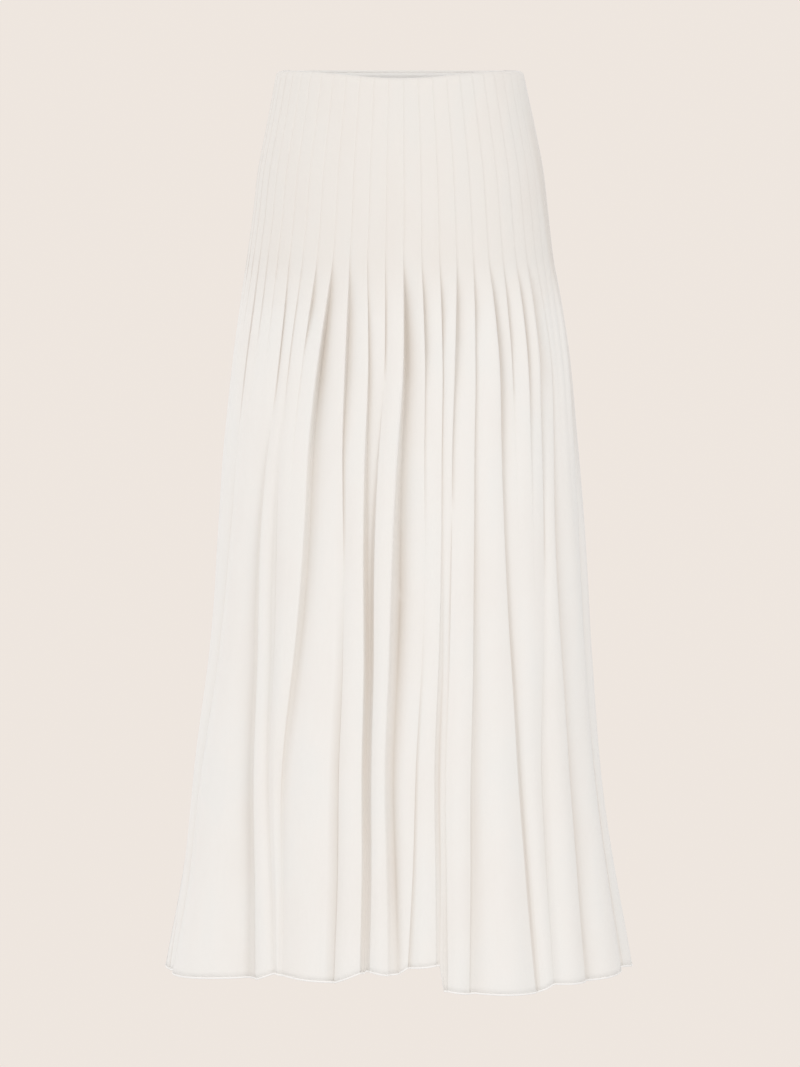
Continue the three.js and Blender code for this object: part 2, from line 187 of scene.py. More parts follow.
def add_socket(tree, name, way, kind, value=None):
    """A socket on the outside of a node group, with its usual value."""
    socket = tree.interface.new_socket(name=name, in_out=way, socket_type=kind)
    if value is not None:
        socket.default_value = value
    return socket


def maths(tree, operation, first, second=None):
    """A maths node; each input is a socket or a number."""
    node = tree.nodes.new("ShaderNodeMath")
    node.operation = operation
    for place, value in enumerate((first, second)):
        if value is None:
            continue
        if isinstance(value, bpy.types.NodeSocket):
            tree.links.new(value, node.inputs[place])
        else:
            node.inputs[place].default_value = value
    return node.outputs[0]


def stretched_noise(tree, vector, across, down, detail):
    """Noise with its own scale across and down the cloth."""
    mapping = tree.nodes.new("ShaderNodeMapping")
    tree.links.new(vector, mapping.inputs["Vector"])
    mapping.inputs["Scale"].default_value = (across, down, 1.0)
    cloud = tree.nodes.new("ShaderNodeTexNoise")
    tree.links.new(mapping.outputs["Vector"], cloud.inputs["Vector"])
    cloud.inputs["Scale"].default_value = 1.0
    cloud.inputs["Detail"].default_value = detail
    return cloud.outputs["Fac"]


def weave_group():
    """Plain weave: height of the threads, a slub mask and a slow mottle, from the cloth's map."""
    tree = bpy.data.node_groups.new("plain_weave", "ShaderNodeTree")
    add_socket(tree, "Cloth Map", "INPUT", "NodeSocketVector")
    add_socket(tree, "Threads", "INPUT", "NodeSocketFloat", MUSLIN["threads_per_metre"])
    add_socket(tree, "Height", "OUTPUT", "NodeSocketFloat")
    add_socket(tree, "Slub", "OUTPUT", "NodeSocketFloat")
    add_socket(tree, "Mottle", "OUTPUT", "NodeSocketFloat")
    begin = tree.nodes.new("NodeGroupInput")
    end = tree.nodes.new("NodeGroupOutput")
    split = tree.nodes.new("ShaderNodeSeparateXYZ")
    tree.links.new(begin.outputs["Cloth Map"], split.inputs[0])
    half_turns = maths(tree, "MULTIPLY", begin.outputs["Threads"], math.pi)
    across = maths(tree, "SINE", maths(tree, "MULTIPLY", split.outputs["X"], half_turns))
    down = maths(tree, "SINE", maths(tree, "MULTIPLY", split.outputs["Y"], half_turns))
    over = maths(tree, "GREATER_THAN", maths(tree, "MULTIPLY", across, down), 0.0)
    warp = maths(tree, "MULTIPLY", maths(tree, "ABSOLUTE", across), over)
    weft = maths(tree, "MULTIPLY", maths(tree, "ABSOLUTE", down), maths(tree, "SUBTRACT", 1.0, over))
    threads = maths(tree, "ADD", warp, weft)
    slub_size = MUSLIN["slub_per_metre"]
    slub_down = stretched_noise(tree, begin.outputs["Cloth Map"], slub_size * 4, slub_size / 8, 2.0)
    slub_across = stretched_noise(tree, begin.outputs["Cloth Map"], slub_size / 8, slub_size * 4, 2.0)
    slub = maths(tree, "MAXIMUM", slub_down, slub_across)
    crepe_size = MUSLIN["crepe_per_metre"]
    crepe = stretched_noise(tree, begin.outputs["Cloth Map"], crepe_size * 1.6, crepe_size * 0.5, 3.0)
    raised_threads = maths(tree, "MULTIPLY", threads, MUSLIN["thread_height"])
    raised_slubs = maths(tree, "MULTIPLY", slub, MUSLIN["slub_height"])
    raised_crepe = maths(tree, "MULTIPLY", crepe, MUSLIN["crepe_height"])
    height = maths(tree, "ADD", maths(tree, "ADD", raised_threads, raised_slubs), raised_crepe)
    tree.links.new(height, end.inputs["Height"])
    tree.links.new(slub, end.inputs["Slub"])
    mottle = stretched_noise(tree, begin.outputs["Cloth Map"], *MUSLIN["mottle_per_metre"], 3.0)
    tree.links.new(mottle, end.inputs["Mottle"])
    return tree


plain_weave = weave_group()


def cloth_material(name, warm, light, cool, sheen, relief):
    """Woven cloth: base colour that wanders from warm to cool, slubs, painted fold shade, and a low bump.
    """
    material = bpy.data.materials.new(name)
    material.use_nodes = True
    tree = material.node_tree
    shader = tree.nodes["Principled BSDF"]
    cloth_map = tree.nodes.new("ShaderNodeUVMap")
    cloth_map.uv_map = "cloth"
    weave = tree.nodes.new("ShaderNodeGroup")
    weave.node_tree = plain_weave
    tree.links.new(cloth_map.outputs["UV"], weave.inputs["Cloth Map"])
    weave.inputs["Threads"].default_value = MUSLIN["threads_per_metre"]
    ramp = tree.nodes.new("ShaderNodeValToRGB")
    ramp.color_ramp.elements[0].position = 0.34
    ramp.color_ramp.elements[0].color = warm
    ramp.color_ramp.elements[1].position = 0.66
    ramp.color_ramp.elements[1].color = cool
    middle = ramp.color_ramp.elements.new(0.5)
    middle.color = light
    tree.links.new(weave.outputs["Mottle"], ramp.inputs["Fac"])
    slubbed = tree.nodes.new("ShaderNodeMix")
    slubbed.data_type = "RGBA"
    slubbed.blend_type = "MULTIPLY"
    slub_amount = maths(tree, "MULTIPLY", weave.outputs["Slub"], MUSLIN["slub_tint"])
    tree.links.new(slub_amount, slubbed.inputs["Factor"])
    tree.links.new(ramp.outputs["Color"], slubbed.inputs[6])
    slubbed.inputs[7].default_value = MUSLIN["on_slubs"]
    # Painted shade in the folds, read from the cloth's attribute, darkens the base colour.
    fold = tree.nodes.new("ShaderNodeAttribute")
    fold.attribute_name = "fold_depth_and_painted_shade"
    shaded = tree.nodes.new("ShaderNodeMix")
    shaded.data_type = "RGBA"
    shaded.blend_type = "MULTIPLY"
    tree.links.new(fold.outputs["Fac"], shaded.inputs["Factor"])
    tree.links.new(slubbed.outputs[2], shaded.inputs[6])
    shaded.inputs[7].default_value = MUSLIN["painted_shade_colour"]
    tree.links.new(shaded.outputs[2], shader.inputs["Base Color"])
    rough_slubs = maths(tree, "MULTIPLY", weave.outputs["Slub"], MUSLIN["slub_roughness"])
    rough = maths(tree, "ADD", rough_slubs, MUSLIN["roughness"])
    tree.links.new(rough, shader.inputs["Roughness"])
    shader.inputs["Specular IOR Level"].default_value = MUSLIN["gloss"]
    shader.inputs["Sheen Weight"].default_value = sheen
    shader.inputs["Sheen Roughness"].default_value = MUSLIN["sheen_roughness"]
    bump = tree.nodes.new("ShaderNodeBump")
    bump.inputs["Strength"].default_value = relief
    bump.inputs["Distance"].default_value = MUSLIN["relief_depth"]
    tree.links.new(weave.outputs["Height"], bump.inputs["Height"])
    tree.links.new(bump.outputs["Normal"], shader.inputs["Normal"])
    return material


muslin = cloth_material("ivory_muslin", MUSLIN["warm"], MUSLIN["light"], MUSLIN["cool"], 0.35, 0.55)

# Front and back panels. Each is one width of muslin, folded into knife pleats that all turn the
# same way, stitched down from waist to hip and pressed, then left to open into flutes. They are
# sewn together at the sides, with the seam turned inside. Sizes are millimetres. Angles are
# degrees from the middle of the front, growing towards the right side as it is seen from there.
RELEASE_Z = -190
PLEATS = 54
PLEAT_STEP = 360 / PLEATS
FIRST_PLEAT = -85.4
FRONT_FIRST = -2
FRONT_PLEATS = 31
RIGHT_SEAM = 104.9
CLOTH_THICKNESS = 0.4
WAIST_DIP = {"deep": 7.0, "tall": 70, "sharp": 6}
ZIP_HOLLOW = {"deep": 6.0, "wide": 13, "tall": 50}
TOP_ROUND = 4.5
TOP_ROWS = (0, -0.5, -1.6, -3.2, -5.4)
TURNED_TOP = [(0.2, 0.2), (0.4, -0.1), (1.0, -3.0)]
FACING_BEHIND = 7.0
ALLOWANCE = [(0.3, 1.0), (2.0, 1.7), (9.0, 2.1)]
ROWS = 116
FACE_PARTS = 6
EDGE_PARTS = 3
SPARE_PLEATS = 8
SPARE_ROOM = 9

# Creases: half the width of a crest and of a valley, for no fold and for each millimetre of fold,
# how much of its room a crease may take, and how far one side lies under the other. Ripple: the
# slow unevenness of the loose cloth.
CREST_HALF = (0.35, 0.07)
CREST_SOFTNESS = 0.2
VALLEY_HALF = (0.35, 0.08)
EDGE_ROOM = 0.42
UNDERCUT = 2.0
CREASE_WANDER = (0.08, 0.2)
LOOSE_WITHIN = 60
RIPPLE = {"deep": 1.2, "wide": 9, "tall": 130, "place": 3.7}

# Painted shade in the folds, in the cloth's colour: how strongly it grows at four depths down the
# skirt, and how sharply. Painted side shade: the angles where it starts, by depth, and where it fades.
FOLD_SHADE = {"down": (400, 560, 780, 940), "strength": (1.55, 1.7, 1.66, 1.52), "sharp": 3.2}
FOLD_REACH = 14
NEAREST = 0.3
# Painted shade over the stitched part of the pleats, fading out just below the hip.
PAINTED_STITCHED_SHADE = 0.2
SIDE_SHADE = {
    "strength": 0.35, "down": (60, 190, 300, 440), "starts": (70, 75, 77, 79),
    "fades_down": (10, 120, 340, 470), "fades_across": (84, 92), "soft_edge": (-1, 3),
}

# Crest: how far a flute's crest stands out. Step: how far one pleat stands over the next. Round: a
# flute's swell for its width. Puff: the swell of one pleat.
SECTION_COLUMNS = ("z", "left", "right", "front", "back", "crest", "step", "round", "puff")
SECTIONS = [
    (0, -126.5, 129, -93, 93, 0.9, 0.45, 0, 0.1),
    (-50, -136, 139, -100, 102, 0.9, 0.45, 0, 0.1),
    (-100, -146, 149, -107, 112, 1, 0.5, 0, 0.1),
    (-150, -152, 155, -112, 120, 1, 0.55, 0, 0.1),
    (-190, -158, 160, -115, 124, 1.3, 0.8, 0, 0.2),
    (-230, -164, 167, -118, 126, 2, 3.4, 0.01, 0.8),
    (-300, -174, 178, -123, 129, 2.5, 3.2, 0.03, 0.8),
    (-380, -183, 185, -128, 133, 2.5, 1.8, 0.05, 0.4),
    (-480, -189, 192, -134, 138, 2.5, 0.8, 0.08, 0.2),
    (-600, -198, 199, -142, 145, 3, 0.4, 0.1, 0),
    (-720, -213, 207, -151, 153, 3, 0.25, 0.12, 0),
    (-840, -226, 223, -161, 162, 3.5, 0.2, 0.14, 0),
    (-945, -244, 242, -170, 170, 5, 0.2, 0.15, 0),
]

# How each front pleat opens where its stitching ends: its strength, and the heights between which
# it dies away. The other pleats vary about the usual values.
OPENINGS = {
    -2: (0.12, -220, -260), -1: (0.12, -220, -260), 0: (0.12, -220, -270), 1: (0.15, -220, -280),
    2: (0.15, -220, -280), 3: (0.25, -230, -300), 4: (0.3, -230, -290), 5: (0.15, -230, -310),
    6: (0.25, -240, -300), 7: (0.15, -240, -330), 8: (1.1, -240, -290), 9: (1.1, -320, -480),
    10: (1.1, -300, -400), 11: (0.1, -240, -300), 12: (0.4, -260, -320), 13: (1.2, -300, -420),
    14: (1.1, -280, -330), 15: (0.95, -240, -300), 16: (1.1, -270, -340), 17: (0.9, -240, -290),
    18: (1.2, -290, -420), 19: (1.0, -270, -340), 20: (1.6, -350, -460), 21: (1.9, -290, -340),
    22: (0.3, -300, -460), 23: (0.05, -240, -300), 24: (0.05, -240, -300), 25: (1.0, -330, -450),
    26: (0.5, -260, -380), 27: (0.5, -240, -340), 28: (0.6, -250, -360),
}
USUAL_OPENING = (0.7, -260, -380)
OPENING_VARIES = (0.3, 30, 60)
OPENING_WITHIN = 25
LEAST_OPENING = 0.12
STITCHED_VARIES = 0.1

# The largest folds: the pleat each one goes on from, then its crease's angle, its step and the
# softness of its valley at the heights of FOLD_LEVELS, and how far it lifts the hem. A step over 0
# has its crest on the left.
FOLD_LEVELS = (-300, -480, -720, -945)
FOLDS = [
    (3, (-66, -68, -75, -78), (1, -2, -3, -4), (0, 2, 4, 6), 12),
    (6, (-46, -49, -44.7, -37.8), (1.5, -5, -6.8, -5.8), (0, 5, 12, 12), 24),
    (7, (-41, -42, -38.6, -31.8), (0.5, -1.5, -1.2, -0.5), (0, 4, 10, 12), 31),
    (9, (-28.9, -31, -34, -30), (7.4, 8, 2, 0.5), (0, 2, 4, 6), 30),
    (10, (-19, -18, -16.2, -15.8), (4, 0.3, -1, -1.5), (0, 0, 0, 1), 26),
    (11, (-11, -11.3, -9.5, -9.2), (4.2, 6, 4.6, 4), (0, 2, 3, 3), 36),
    (12, (-5.5, -8, -7, -7), (0, -4.5, -4.4, -4), (0, 2, 3, 3), 38),
    (13, (0.8, -2, -2.6, -2), (8.5, 13, 9, 6), (1, 5, 12, 13), 35),
    (14, (8, 7.4, 5.6, 2.4), (1.3, 0, 0.6, 1.5), (0, 0, 0, 1), 42),
    (15, (14, 12.7, 11, 9.4), (0.8, 1.4, 3.8, 3), (0, 1, 5, 3), 44),
    (16, (18, 16, 14, 12.2), (3.5, -0.9, -1, -2.5), (0, 0, 2, 3), 17),
    (17, (25.6, 23.3, 21.5, 17.8), (1.8, 2.1, 3.2, 2.5), (0, 1, 4, 5), 14),
    (18, (34.6, 34, 36.7, 36.2), (5, 4, 4.4, 2.8), (0, 1, 3, 3), 10),
    (21, (53, 51, 46, 42), (5.8, 0.4, 1.2, 1), (0, 0, 3, 4), 16),
    (22, (62, 56.6, 58.4, 53.8), (1, 5.4, 6, 4.6), (0, 1, 3, 5), 14),
    (25, (76, 78, 82, 80), (5, 2, -1.5, -3), (0, 0, 3, 5), 15),
    (27, (92, 93, 94, 93), (4, 5, 6, 7), (1, 2, 4, 6), 10),
    (29, (107, 104, 105, 108), (3, -5, -8, -12), (0, 2, 4, 6), 5),
    (31, (120, 122, 118, 121), (5, 8, 9, 12), (1, 2, 3, 5), 6),
    (33, (134, 131, 133, 131), (2, -4, -7, -9), (0, 3, 5, 6), 8),
    (35, (147, 149, 146, 144), (5, 8, 9, 11), (1, 1, 3, 4), 6),
    (37, (160, 158, 161, 157), (3, -6, -8, -12), (0, 2, 4, 5), 9),
    (39, (174, 176, 174, 171), (5, 9, 10, 10), (1, 2, 4, 6), 6),
    (41, (188, 185, 187, 186), (2, -3, -7, -11), (0, 3, 4, 4), 8),
    (43, (201, 203, 200, 202), (5, 8, 9, 13), (1, 1, 2, 4), 5),
    (45, (214, 212, 215, 214), (3, -5, -8, -10), (0, 2, 4, 6), 8),
    (47, (228, 230, 228, 231), (5, 8, 10, 11), (1, 1, 3, 5), 4),
    (49, (241, 240, 242, 243), (2, -4, -7, -9), (0, 2, 4, 6), 4),
    (52, (262, 264, 262, 266), (4, 6, 8, 11), (1, 2, 4, 5), 4),
]


def along(places, values, at):
    """A smooth curve through (places, values), places going down."""
    last = len(places) - 1
    i = 0
    while i < last - 1 and at < places[i + 1]:
        i += 1
    span = places[i + 1] - places[i]
    t = min(max((at - places[i]) / span, 0), 1)

    def rise(j):
        return (values[j + 1] - values[j]) / (places[j + 1] - places[j])

    def slope(j):
        if j <= 0:
            return rise(0)
        return rise(last - 1) if j >= last else (rise(j - 1) + rise(j)) / 2

    ends = (1 + 2 * t) * (1 - t) ** 2 * values[i] + (3 - 2 * t) * t * t * values[i + 1]
    return ends + (t * (1 - t) ** 2 * slope(i) - t * t * (1 - t) * slope(i + 1)) * span


section_values = {name: [row[i] for row in SECTIONS] for i, name in enumerate(SECTION_COLUMNS)}
HEM_Z = section_values["z"][-1]


def size(name, z):
    return along(section_values["z"], section_values[name], z)


def stitched_angle(pleat):
    return FIRST_PLEAT + PLEAT_STEP * pleat


def folds_at(z):
    """Pleat number, angle, step, softness and lift of every large fold, over three turns."""
    rows = []
    for pleat, angles, depths, softness, lift in FOLDS:
        start = stitched_angle(pleat)
        angle, depth, soft = start, 0.0, 0.0
        if z < RELEASE_Z:
            angle = along((RELEASE_Z, *FOLD_LEVELS), (start, *angles), z)
            depth = along((RELEASE_Z, *FOLD_LEVELS), (0, *depths), z)
            soft = along((RELEASE_Z, *FOLD_LEVELS), (0, *softness), z)
        rows.append((pleat, angle, depth, soft, lift))
    once = np.array(rows, float)
    turn = np.array([PLEATS, 360, 0, 0, 0], float)
    return np.vstack([once - turn, once, once + turn]).T


def middle_line(angle, z):
    """The middle of the cloth at angles in degrees: place, way out, and millimetres a degree."""
    crest = size("crest", z)
    left, right = size("left", z), size("right", z)
    half_width = (right - left) / 2 - crest
    across, forward = np.sin(np.radians(angle)), np.cos(np.radians(angle))
    half_depth = np.where(forward > 0, -size("front", z), size("back", z)) - crest
    place = np.stack([(left + right) / 2 + half_width * across, -half_depth * forward], -1)
    out = np.stack([across / half_width, -forward / half_depth], -1)
    out /= np.linalg.norm(out, axis=-1, keepdims=True)
    pace = math.radians(1) * np.hypot(half_width * forward, half_depth * across)
    return place, out, pace


def uneven(number, salt):
    """A fixed value from -1 to 1 for each pleat, so that no two are alike."""
    return np.sin(number * 12.9898 + salt * 78.233) * np.cos(number * 4.1414 + salt * 3.17)


def opening_of(pleat, z):
    """How strongly a pleat stands up at a height, for its place in the row."""
    if z > RELEASE_Z:
        return 1 + STITCHED_VARIES * uneven(pleat, 1)
    number = FRONT_FIRST + (pleat - FRONT_FIRST) % PLEATS
    parts = zip(USUAL_OPENING, OPENING_VARIES, (5, 6, 7))
    usual = [middle + spread * uneven(number, salt) for middle, spread, salt in parts]
    strength, start, end = OPENINGS.get(number, usual)
    left = min(max((z - end) / (start - end), LEAST_OPENING), 1)
    released = min((RELEASE_Z - z) / OPENING_WITHIN, 1)
    return 1 + released * (strength * left - 1)


def waist_dip(angle, z):
    """How far the top edge drops towards the middle of the front."""
    to_front = np.clip(np.cos(np.radians(angle)), 0, None) ** WAIST_DIP["sharp"]
    return WAIST_DIP["deep"] * to_front * max(0, 1 + z / WAIST_DIP["tall"])


def zip_hollow(angle, z):
    """How far the top of the zip draws the cloth in at the side seam."""
    apart = (angle - RIGHT_SEAM + 180) % 360 - 180
    near = np.exp(-(apart / ZIP_HOLLOW["wide"]) ** 2)
    return ZIP_HOLLOW["deep"] * near * max(0, 1 + z / ZIP_HOLLOW["tall"])


def top_round(z):
    """How far the soft top edge curves in over its last few millimetres."""
    near = max(0, 1 + z / TOP_ROUND)
    return TOP_ROUND * (1 - math.sqrt(1 - near * near))


def cloth_ring(z):
    """Every point of the cloth round the skirt at one height, in order, with its way out."""
    fold_pleat, fold_angle, fold_depth_and_painted_shade, fold_soft, fold_lift = folds_at(z)
    pleats = np.arange(-SPARE_PLEATS, PLEATS + SPARE_PLEATS)
    crease = np.interp(pleats, fold_pleat, fold_angle)
    fold_row = {int(round(number)): row for row, number in enumerate(fold_pleat)}
    is_large = np.array([pleat in fold_row for pleat in pleats])
    large = np.array([fold_depth_and_painted_shade[fold_row[pleat]] if pleat in fold_row else 0.0 for pleat in pleats])
    soft = np.array([fold_soft[fold_row[pleat]] if pleat in fold_row else 0.0 for pleat in pleats])
    loose = min(max((RELEASE_Z - z) / LOOSE_WITHIN, 0), 1)
    step = size("step", z) * np.array([opening_of(pleat, z) for pleat in pleats])
    wander = CREASE_WANDER[0] + CREASE_WANDER[1] * loose
    crease = crease + wander * uneven(pleats % PLEATS, 2) * ~is_large
    pace = middle_line(crease, z)[2]
    room_before = np.diff(crease, prepend=crease[0] - SPARE_ROOM)
    room_after = np.diff(crease, append=crease[-1] + SPARE_ROOM)
    total = large + step
    most = EDGE_ROOM * np.minimum(room_before, room_after) * pace
    crest_half = CREST_HALF[0] + CREST_HALF[1] * np.abs(total) + soft * CREST_SOFTNESS
    crest_half = np.minimum(crest_half, most) / pace
    valley_half = VALLEY_HALF[0] + VALLEY_HALF[1] * np.abs(total) + soft
    valley_half = np.minimum(valley_half, most) / pace
    half_left = np.where(total > 0, crest_half, valley_half)
    half_right = np.where(total > 0, valley_half, crest_half)
    under = UNDERCUT * np.clip(np.abs(total) / 2, 0.1, 1) / (1 + soft)
    under = under * np.minimum(crest_half, valley_half)

    # Flutes, each from just past one large fold to just short of the next
    begin = fold_angle + np.interp(fold_pleat, pleats, half_right)
    finish = fold_angle[1:] - np.interp(fold_pleat[1:], pleats, half_left)
    finish = np.append(finish, fold_angle[-1] + SPARE_ROOM)

    def flute(angle):
        i = np.clip(np.searchsorted(fold_angle, angle, side="right") - 1, 0, len(fold_angle) - 2)
        share = np.clip((angle - begin[i]) / np.maximum(finish[i] - begin[i], 0.01), 0, 1)
        width = (finish[i] - begin[i]) * middle_line(angle, z)[2]
        swell = size("round", z) * width * np.sin(np.pi * share)
        lift = fold_lift[i] + (fold_lift[i + 1] - fold_lift[i]) * share
        return -fold_depth_and_painted_shade[i] / 2 * (1 - share) + fold_depth_and_painted_shade[i + 1] / 2 * share + swell, lift

    def edge_points(q, order):
        """Points over a crease, q from -1 at its left side to 1 at its right side."""
        half = (half_left if q < 0 else half_right)[order]
        angle = crease[order] + half * q - under[order] * q * (1 - q * q)
        wave, lift = flute(angle)
        turn = math.sin(math.pi * q / 2)
        out = np.where(is_large[order], -large[order] / 2 * turn, wave) - step[order] / 2 * turn
        return angle, out, lift

    def face_points(share):
        angle = (crease[:-1] + half_right[:-1]) * (1 - share) + (crease[1:] - half_left[1:]) * share
        wave, lift = flute(angle)
        ramp = -step[:-1] / 2 * (1 - share) + step[1:] / 2 * share
        return angle, wave + ramp + size("puff", z) * math.sin(math.pi * share), lift

    here, beyond = slice(None, -1), slice(1, None)
    columns = [edge_points(i / EDGE_PARTS, here) for i in range(EDGE_PARTS + 1)]
    columns += [face_points(i / FACE_PARTS) for i in range(1, FACE_PARTS)]
    columns += [edge_points(i / EDGE_PARTS - 1, beyond) for i in range(EDGE_PARTS)]
    angle, out, lift = (np.stack([c[i] for c in columns], 1).ravel() for i in range(3))
    place, way, _ = middle_line(angle, z)
    ripple = np.array([
        noise.noise(Vector((a / RIPPLE["wide"], z / RIPPLE["tall"], RIPPLE["place"]))) for a in angle % 360
    ])
    out = out + ripple * RIPPLE["deep"] * loose
    out = out - zip_hollow(angle, z) - top_round(z)
    flat = place + way * out[:, None]
    fall = min(max((z - RELEASE_Z) / (HEM_Z - RELEASE_Z), 0), 1)
    height = z - waist_dip(angle, z) + lift * fall * fall
    ring = np.column_stack([flat, height])
    # Painted shade for the cloth's colour: in the folds, behind the last pleat on the right, and over the
    # stitched part.
    shade = np.maximum(painted_fold_shade_of(ring, out, z), side_shade(angle, z))
    shade = 1 - (1 - shade) * (1 - PAINTED_STITCHED_SHADE * (1 - loose))
    return ring, way, out, shade, pleats[0]


def painted_fold_shade_of(place, out, z):
    """Painted shade: how far each point of a ring lies hidden between its neighbours, 0 on a crest to 1."""
    hidden = np.zeros(len(out))
    for way in (-1, 1):
        rise = np.zeros(len(out))
        for away in range(1, FOLD_REACH):
            beside = np.roll(place[:, :2], -way * away, axis=0)
            apart = np.maximum(np.linalg.norm(beside - place[:, :2], axis=1), NEAREST)
            rise = np.maximum(rise, (np.roll(out, -way * away) - out) / apart)
        hidden += np.sin(np.arctan(rise)) / 2
    strength = np.interp(-z, FOLD_SHADE["down"], FOLD_SHADE["strength"])
    return np.clip(hidden * strength, 0, 1) ** FOLD_SHADE["sharp"]


def side_shade(angle, z):
    """Painted shade behind the last pleat on the right, which lies over the cloth that turns back."""
    starts = np.interp(-z, SIDE_SHADE["down"], SIDE_SHADE["starts"])
    tall = np.interp(-z, SIDE_SHADE["fades_down"], (0, 1, 1, 0))
    edges = (*(starts + soft for soft in SIDE_SHADE["soft_edge"]), *SIDE_SHADE["fades_across"])
    across = np.interp(angle % 360, edges, (0, 1, 1, 0))
    return SIDE_SHADE["strength"] * tall * across


COLUMNS_A_PLEAT = 2 * EDGE_PARTS + FACE_PARTS
SEAM_COLUMN = EDGE_PARTS + FACE_PARTS // 2
row_heights = np.concatenate([TOP_ROWS, np.linspace(0, HEM_Z, ROWS)[1:]])
rings = [cloth_ring(z) for z in row_heights]


def panel_rows(first_pleat, pleat_count):
    """Places, ways out, rises and painted shades of one panel's rows, from one side seam to the other."""
    start = (first_pleat - 1 - rings[0][4]) * COLUMNS_A_PLEAT + SEAM_COLUMN
    stop = start + pleat_count * COLUMNS_A_PLEAT + 1
    return [np.array([ring[part][start:stop] for ring in rings]) for part in range(4)]


def grid_mesh(name, places, depth=None, close_columns=False):
    """A smooth mesh from rows of points, top row first, with a cloth map in metres and painted shade."""
    rows, columns = places.shape[:2]
    mesh = bpy.data.meshes.new(name)
    across = np.linalg.norm(np.diff(places, axis=1), axis=2)
    along_row = np.concatenate([np.zeros((rows, 1)), np.cumsum(across, axis=1)], axis=1)
    along_row -= along_row[:, columns // 2][:, None]
    down = np.linalg.norm(np.diff(places, axis=0), axis=2)
    down_column = np.concatenate([np.zeros((1, columns)), np.cumsum(down, axis=0)])
    faces = []
    for row in range(rows - 1):
        for column in range(columns - (0 if close_columns else 1)):
            after = (column + 1) % columns
            above, below = row * columns, (row + 1) * columns
            faces.append((above + column, below + column, below + after, above + after))
    mesh.from_pydata((places.reshape(-1, 3) * MM).tolist(), [], faces)
    cloth_map = mesh.uv_layers.new(name="cloth")
    corner_vertex = np.zeros(len(mesh.loops), int)
    mesh.loops.foreach_get("vertex_index", corner_vertex)
    flat_map = np.stack([along_row.ravel(), -down_column.ravel()], 1) * MM
    cloth_map.data.foreach_set("uv", flat_map[corner_vertex].ravel())
    # Painted shade in the folds, for the material.
    fold_depth_and_painted_shade = mesh.attributes.new("fold_depth_and_painted_shade", "FLOAT", "POINT")
    fold_depth_and_painted_shade.data.foreach_set("value", np.zeros(rows * columns) if depth is None else depth.ravel())
    mesh.shade_smooth()
    return mesh


def add_piece(name, mesh, material):
    """A new object in the scene, with its material if the mesh has none."""
    piece = bpy.data.objects.new(name, mesh)
    bpy.context.scene.collection.objects.link(piece)
    if not mesh.materials:
        mesh.materials.append(material)
    return piece


def thicken(piece, thickness):
    """Cloth has its thickness on the inner side."""
    wall = piece.modifiers.new("cloth_thickness", "SOLIDIFY")
    wall.thickness = thickness * MM
    wall.offset = -1
    return piece


def panel_places(first_pleat, pleat_count):
    """The panel with its top turned over to the inside and its seam allowances turned in."""
    places, ways, outs, depth = panel_rows(first_pleat, pleat_count)
    top, top_ways, top_outs = places[0], ways[0], outs[0]
    turned = []
    for share, rise in TURNED_TOP:
        move = -(FACING_BEHIND + top_outs) * share
        turned.append(np.column_stack([top[:, :2] + top_ways * move[:, None], top[:, 2] + rise]))
    places = np.concatenate([np.array(turned[::-1]), places])
    ways = np.concatenate([np.array([top_ways] * len(turned)), ways])
    # Painted shade: as at the panel's edge over the seam allowances, none on the turned top.
    depth = np.pad(depth, ((0, 0), (len(ALLOWANCE), len(ALLOWANCE))), "edge")
    depth = np.pad(depth, ((len(turned), 0), (0, 0)))

    def allowance(edge, neighbour, way):
        into = neighbour - edge
        into[:, 2] = 0
        into /= np.linalg.norm(into, axis=1, keepdims=True)
        inwards = np.column_stack([way, 0 * edge[:, 2]])
        return [edge + into * side - inwards * deep for side, deep in ALLOWANCE]

    first = allowance(places[:, 0], places[:, 1], ways[:, 0])
    last = allowance(places[:, -1], places[:, -2], ways[:, -1])
    return np.concatenate([np.stack(first[::-1], 1), places, np.stack(last, 1)], axis=1), depth


back_first = FRONT_FIRST + FRONT_PLEATS
panel_cuts = {
    "front_panel": (FRONT_FIRST, FRONT_PLEATS, "skirt_front"),
    "back_panel": (back_first, PLEATS - FRONT_PLEATS, "skirt_back"),
}
for piece_name, (first_pleat, pleat_count, node) in panel_cuts.items():
    places, depth = panel_places(first_pleat, pleat_count)
    panel = thicken(add_piece(piece_name, grid_mesh(piece_name, places, depth), muslin), CLOTH_THICKNESS)
    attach(panel, "skirt")
    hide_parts(node)

# Rolled hem. The raw edge is rolled twice and stitched down, which leaves a narrow firm bead that
# follows every flute.
HEM_ROLL = {"tall": 2.0, "thick": 1.0, "sides": 8, "above": 0.7, "in": 0.2}
# The roll's colour is lighter than the muslin's: painted light on the bead and its shaded underside.
HEM_PAINTED_LIGHTER = (0.925, 0.905, 0.882, 1.0)

roll_cloth_painted_lighter = cloth_material("hem_roll_painted_lighter", *[HEM_PAINTED_LIGHTER] * 3, 0.3, 0.4)


def square_ways(row):
    """Ways square to the cloth along a row of points, seen from above, pointing out."""
    step = np.gradient(row[:, :2], axis=0)
    way = np.stack([step[:, 1], -step[:, 0]], 1)
    return way / np.maximum(np.linalg.norm(way, axis=1, keepdims=True), 1e-9)


def roll_mesh(name, row):
    """A flattened roll along a row of points."""
    way = square_ways(row)
    rings_of_roll = []
    for side in range(HEM_ROLL["sides"]):
        turn = 2 * math.pi * side / HEM_ROLL["sides"]
        out = math.cos(turn) * HEM_ROLL["thick"] / 2 - HEM_ROLL["in"]
        up = math.sin(turn) * HEM_ROLL["tall"] / 2 + HEM_ROLL["above"]
        rings_of_roll.append(np.column_stack([row[:, :2] + way * out, row[:, 2] + up]))
    return grid_mesh(name, np.stack(rings_of_roll, 1)[:, ::-1], close_columns=True)


